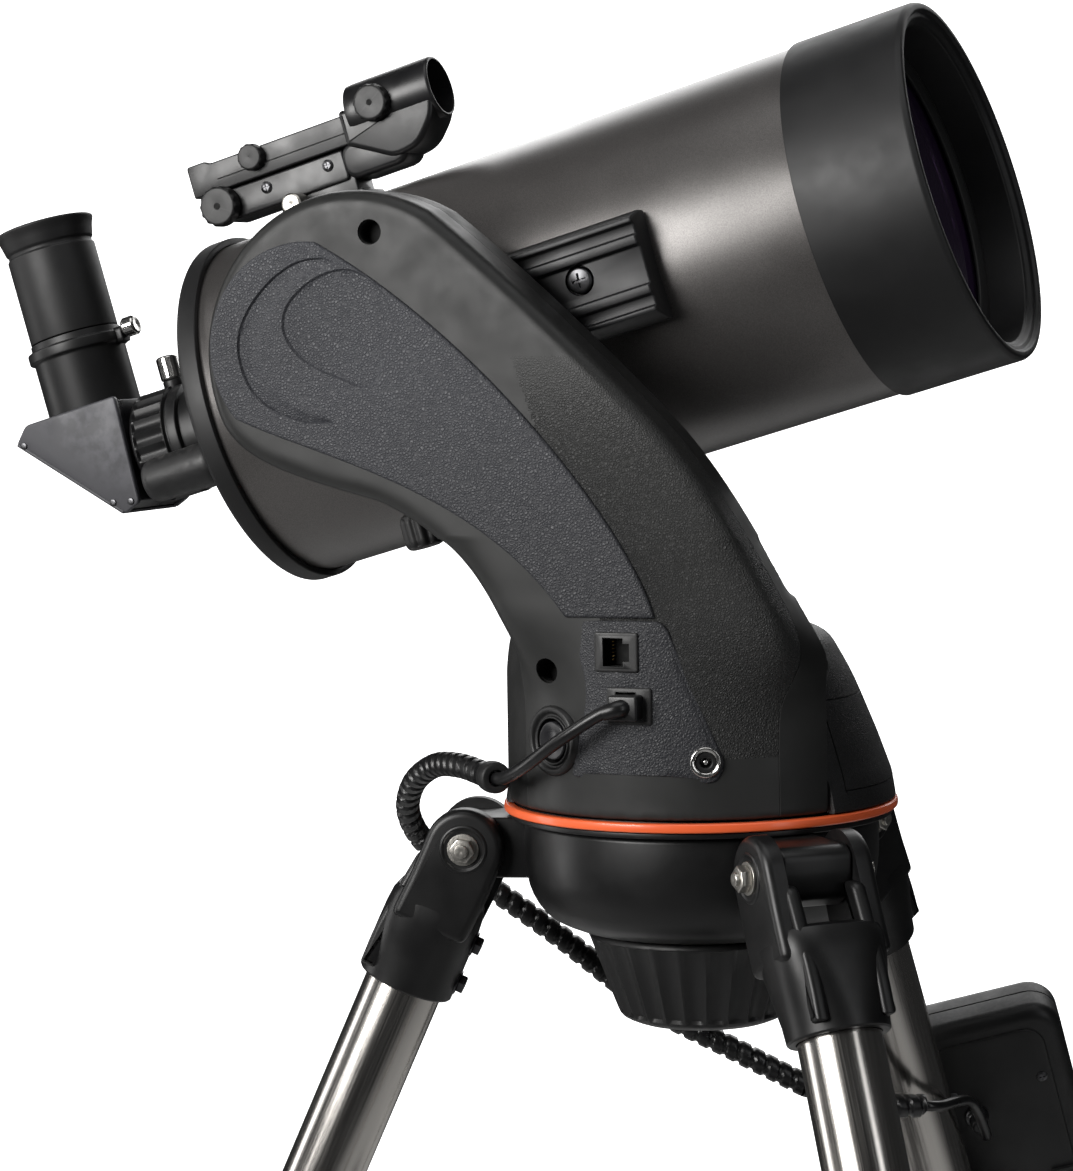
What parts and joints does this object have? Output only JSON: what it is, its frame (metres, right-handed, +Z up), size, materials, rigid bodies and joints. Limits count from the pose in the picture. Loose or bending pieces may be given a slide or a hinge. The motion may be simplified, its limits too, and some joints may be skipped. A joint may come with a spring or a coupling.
{
  "type": "schmidt cassegrain telescope",
  "caption": "Computerised catadioptric telescope on a single-arm alt-azimuth mount with a steel tripod, star diagonal, red-dot finder and hand controller.",
  "frame": {"origin": "on the floor, under the middle of the tripod's bounding box", "axes": "+Z up; +X towards the tube's heading; the arm stands on the -Y side of the tube"},
  "size_m": [0.7014, 0.711, 1.0234],
  "materials": {
    "arm_plastic": "satin moulded black",
    "base_plastic": "fine-textured moulded black",
    "panel_plastic": "leather-grain moulded charcoal",
    "orange_plastic": "semi-gloss orange",
    "tube_paint": "satin warm dark-grey metallic",
    "cell_paint": "satin black",
    "corrector_glass": "coated, faint purple",
    "prism_glass": "clear",
    "mirror_coating": "polished",
    "head_metal": "satin black casting",
    "socket_metal": "satin black casting",
    "knob_plastic": "moulded black",
    "focus_rubber": "grey ribbed",
    "keypad_rubber": "moulded keys",
    "tray_plastic": "moulded black",
    "hub_plastic": "moulded black",
    "brace_metal": "satin black",
    "board": "green lacquer",
    "battery_plastic": "moulded",
    "cord_rubber": "flexible vinyl with spiral wrap",
    "controller_plastic": "satin moulded black",
    "holder_plastic": "moulded black",
    "eyepiece_metal": "satin black anodised",
    "back_metal": "satin black",
    "diagonal_plastic": "semi-gloss black",
    "saddle_metal": "satin black",
    "finder_plastic": "moulded black",
    "baffle_paint": "flat black",
    "switch_plastic": "semi-gloss black",
    "screw_steel": "knurled bright plate",
    "motor_steel": "plated",
    "gear_brass": "cut brass",
    "leg_steel": "stainless tube"
  },
  "bodies": {
    "tripod_head": {"head_casting": "head_metal", "base_plate": "head_metal", "trim_ring": "orange_plastic", "azimuth_gear": "gear_brass", "control_cord": "cord_rubber"},
    "mount_knob": {"mount_knob": "knob_plastic"},
    "fork_arm": {"arm_outer_shell": "arm_plastic", "arm_inner_shell": "arm_plastic", "arm_cover_panel": "panel_plastic", "port_panel": "panel_plastic", "drive_base_cover": "base_plastic", "circuit_board": "board", "azimuth_motor": "motor_steel", "altitude_motor": "motor_steel", "battery_pack": "battery_plastic"},
    "power_switch": {"power_switch": "switch_plastic"},
    "battery_door": {"battery_door": "base_plastic"},
    "azimuth_pinion": {"azimuth_pinion": "gear_brass"},
    "altitude_pinion": {"altitude_pinion": "gear_brass"},
    "optical_tube": {"main_tube": "tube_paint", "front_cell": "cell_paint", "corrector_lens": "corrector_glass", "baffle_tube": "baffle_paint", "rear_cell": "cell_paint", "visual_back": "back_metal", "altitude_saddle": "saddle_metal", "altitude_gear": "gear_brass", "dovetail_bar": "saddle_metal", "finder_foot": "finder_plastic"},
    "dovetail_knob": {"dovetail_knob": "knob_plastic"},
    "focus_knob": {"focus_knob": "focus_rubber"},
    "primary_mirror": {"primary_mirror": "mirror_coating"},
    "diagonal": {"diagonal_housing": "diagonal_plastic", "diagonal_prism": "prism_glass"},
    "eyepiece": {"eyepiece": "eyepiece_metal"},
    "eyepiece_screw": {"eyepiece_screw": "screw_steel"},
    "visual_back_screw": {"visual_back_screw": "screw_steel"},
    "finder": {"finder_body": "finder_plastic"},
    "finder_switch": {"finder_switch": "knob_plastic"},
    "finder_tilt_knob": {"finder_tilt_knob": "knob_plastic"},
    "brace_hub": {"brace_hub": "hub_plastic", "accessory_tray": "tray_plastic"},
    "hand_controller": {"hand_controller": "controller_plastic"},
    "keypad": {"keypad": "keypad_rubber"},
    "leg_a": {"leg_a_socket": "socket_metal", "leg_a_tube": "leg_steel"},
    "leg_a_lower": {"leg_a_extension": "leg_steel"},
    "leg_a_lock": {"leg_a_lock_knob": "knob_plastic"},
    "leg_a_brace": {"leg_a_brace": "brace_metal"},
    "leg_b": {"leg_b_socket": "socket_metal", "leg_b_tube": "leg_steel"},
    "leg_b_lower": {"leg_b_extension": "leg_steel"},
    "leg_b_lock": {"leg_b_lock_knob": "knob_plastic"},
    "leg_b_brace": {"leg_b_brace": "brace_metal"},
    "leg_c": {"leg_c_socket": "socket_metal", "leg_c_tube": "leg_steel", "controller_holder": "holder_plastic"},
    "leg_c_lower": {"leg_c_extension": "leg_steel"},
    "leg_c_lock": {"leg_c_lock_knob": "knob_plastic"},
    "leg_c_brace": {"leg_c_brace": "brace_metal"}
  },
  "joints": [
    {"name": "mount_knob_turn", "type": "hinge", "parent": "tripod_head", "child": "mount_knob", "pos_m": [0.05745, -0.04722, 0.70917], "axis": [0, 0, 1], "continuous": true},
    {"name": "azimuth", "type": "hinge", "parent": "tripod_head", "child": "fork_arm", "pos_m": [0.05745, -0.04722, 0.70917], "axis": [0, 0, 1], "continuous": true, "deforming": ["control_cord"]},
    {"name": "azimuth_pinion_turn", "type": "hinge", "parent": "fork_arm", "child": "azimuth_pinion", "pos_m": [0.05745, -0.00122, 0.70917], "axis": [0, 0, 1], "continuous": true},
    {"name": "altitude", "type": "hinge", "parent": "fork_arm", "child": "optical_tube", "pos_m": [-0.05605, -0.04722, 0.89147], "axis": [0, -1, 0], "range_deg": [-19, 67]},
    {"name": "altitude_pinion_turn", "type": "hinge", "parent": "fork_arm", "child": "altitude_pinion", "pos_m": [-0.00296, -0.04722, 0.87215], "axis": [0, -1, 0], "range_deg": [-202, 58]},
    {"name": "power_switch_rock", "type": "hinge", "parent": "fork_arm", "child": "power_switch", "pos_m": [0.0227, -0.11256, 0.74017], "axis": [0, 0, 1], "range_deg": [0, 8]},
    {"name": "battery_door_slide", "type": "slide", "parent": "fork_arm", "child": "battery_door", "axis": [1, 0, 0], "range_m": [0, 0.025]},
    {"name": "dovetail_knob_turn", "type": "hinge", "parent": "optical_tube", "child": "dovetail_knob", "pos_m": [-0.06951, -0.07222, 0.88761], "axis": [-0.2763, 0, 0.9611], "range_deg": [-720, 0]},
    {"name": "mirror_slide", "type": "slide", "parent": "optical_tube", "child": "primary_mirror", "axis": [0.9611, 0, 0.2763], "range_m": [-0.006, 0.006]},
    {"name": "focus_knob_turn", "type": "hinge", "parent": "optical_tube", "child": "focus_knob", "pos_m": [-0.05163, -0.01872, 0.8761], "axis": [0.9611, 0, 0.2763], "range_deg": [-690, 690]},
    {"name": "diagonal_turn", "type": "hinge", "parent": "optical_tube", "child": "diagonal", "pos_m": [-0.05605, 0.01128, 0.89147], "axis": [0.9611, 0, 0.2763], "range_deg": [-90, 90]},
    {"name": "eyepiece_slide", "type": "slide", "parent": "diagonal", "child": "eyepiece", "axis": [-0.2763, 0, 0.9611], "range_m": [0, 0.045]},
    {"name": "eyepiece_screw_turn", "type": "hinge", "parent": "diagonal", "child": "eyepiece_screw", "pos_m": [-0.07114, 0.01128, 0.94395], "axis": [0.9611, 0, 0.2763], "range_deg": [-720, 0]},
    {"name": "visual_back_screw_turn", "type": "hinge", "parent": "optical_tube", "child": "visual_back_screw", "pos_m": [-0.19541, 0.01128, 0.85141], "axis": [-0.2763, 0, 0.9611], "range_deg": [-720, 0]},
    {"name": "finder_tilt", "type": "hinge", "parent": "optical_tube", "child": "finder", "pos_m": [-0.11402, 0.01128, 0.97366], "axis": [0, 1, 0], "range_deg": [0, 4]},
    {"name": "finder_tilt_knob_turn", "type": "hinge", "parent": "optical_tube", "child": "finder_tilt_knob", "pos_m": [-0.17085, 0.01128, 0.95056], "axis": [0, 1, 0], "range_deg": [0, 361]},
    {"name": "finder_switch_turn", "type": "hinge", "parent": "finder", "child": "finder_switch", "pos_m": [-0.09839, 0.01128, 0.99168], "axis": [0, 1, 0], "range_deg": [0, 270]},
    {"name": "leg_a_fold", "type": "hinge", "parent": "tripod_head", "child": "leg_a", "pos_m": [-0.03201, -0.06869, 0.69277], "axis": [0.2334, -0.9724, 0], "range_deg": [0, 18]},
    {"name": "leg_a_brace_swing", "type": "hinge", "parent": "leg_a", "child": "leg_a_brace", "pos_m": [-0.1839, -0.10516, 0.2916], "axis": [0.2334, -0.9724, 0], "range_deg": [-0.1, 32]},
    {"name": "leg_a_extend", "type": "slide", "parent": "leg_a", "child": "leg_a_lower", "axis": [-0.3966, -0.0952, -0.913], "range_m": [-0.08, 0.3]},
    {"name": "leg_a_lock_turn", "type": "hinge", "parent": "leg_a", "child": "leg_a_lock", "pos_m": [-0.27959, -0.12813, 0.12965], "axis": [-0.8878, -0.2131, 0.4079], "range_deg": [-360, 0]},
    {"name": "leg_b_fold", "type": "hinge", "parent": "tripod_head", "child": "leg_b", "pos_m": [0.12077, -0.11395, 0.69277], "axis": [0.7254, 0.6884, 0], "range_deg": [-0.1, 18.1]},
    {"name": "leg_b_brace_swing", "type": "hinge", "parent": "leg_b", "child": "leg_b_brace", "pos_m": [0.2283, -0.22726, 0.2916], "axis": [0.7254, 0.6884, 0], "range_deg": [-0.1, 32]},
    {"name": "leg_b_extend", "type": "slide", "parent": "leg_b", "child": "leg_b_lower", "axis": [0.2807, -0.2958, -0.913], "range_m": [-0.08, 0.3]},
    {"name": "leg_b_lock_turn", "type": "hinge", "parent": "leg_b", "child": "leg_b_lock", "pos_m": [0.29604, -0.29864, 0.12965], "axis": [0.6285, -0.6623, 0.4079], "range_deg": [-360, 0]},
    {"name": "leg_c_fold", "type": "hinge", "parent": "tripod_head", "child": "leg_c", "pos_m": [0.08357, 0.04099, 0.69277], "axis": [-0.9588, 0.284, 0], "range_deg": [-0.1, 18.1]},
    {"name": "leg_c_brace_swing", "type": "hinge", "parent": "leg_c", "child": "leg_c_brace", "pos_m": [0.12794, 0.19076, 0.2916], "axis": [-0.9588, 0.284, 0], "range_deg": [-0.1, 32]},
    {"name": "leg_c_extend", "type": "slide", "parent": "leg_c", "child": "leg_c_lower", "axis": [0.1158, 0.3911, -0.913], "range_m": [-0.08, 0.3]},
    {"name": "leg_c_lock_turn", "type": "hinge", "parent": "leg_c", "child": "leg_c_lock", "pos_m": [0.15589, 0.28512, 0.12965], "axis": [0.2593, 0.8754, 0.4079], "range_deg": [-360, 0]},
    {"name": "brace_hub_slide", "type": "slide", "parent": "tripod_head", "child": "brace_hub", "axis": [0, 0, 1], "range_m": [-0.0005, 0.114]},
    {"name": "controller_lift", "type": "slide", "parent": "leg_c", "child": "hand_controller", "axis": [-0.1158, -0.3911, 0.913], "range_m": [0, 0.09]},
    {"name": "keypad_travel", "type": "slide", "parent": "hand_controller", "child": "keypad", "axis": [0.3488, -0.8767, -0.3312], "range_m": [0, 0.0015], "stiffness_N_per_m": 500}
  ],
  "couplings": [
    {"joint": "azimuth_pinion_turn", "follows": "azimuth", "ratio": 2.25},
    {"joint": "altitude_pinion_turn", "follows": "altitude", "ratio": -3},
    {"joint": "focus_knob_turn", "follows": "mirror_slide", "rad_per_m": 2000},
    {"joint": "finder_tilt_knob_turn", "follows": "finder_tilt", "ratio": 90},
    {"joint": "leg_a_brace_swing", "follows": "leg_a_fold", "ratio": 1.767},
    {"joint": "leg_b_fold", "follows": "leg_a_fold", "ratio": 1},
    {"joint": "leg_b_brace_swing", "follows": "leg_a_fold", "ratio": 1.767},
    {"joint": "leg_c_fold", "follows": "leg_a_fold", "ratio": 1},
    {"joint": "leg_c_brace_swing", "follows": "leg_a_fold", "ratio": 1.767},
    {"joint": "brace_hub_slide", "follows": "leg_a_fold", "m_per_rad": 0.3594}
  ]
}
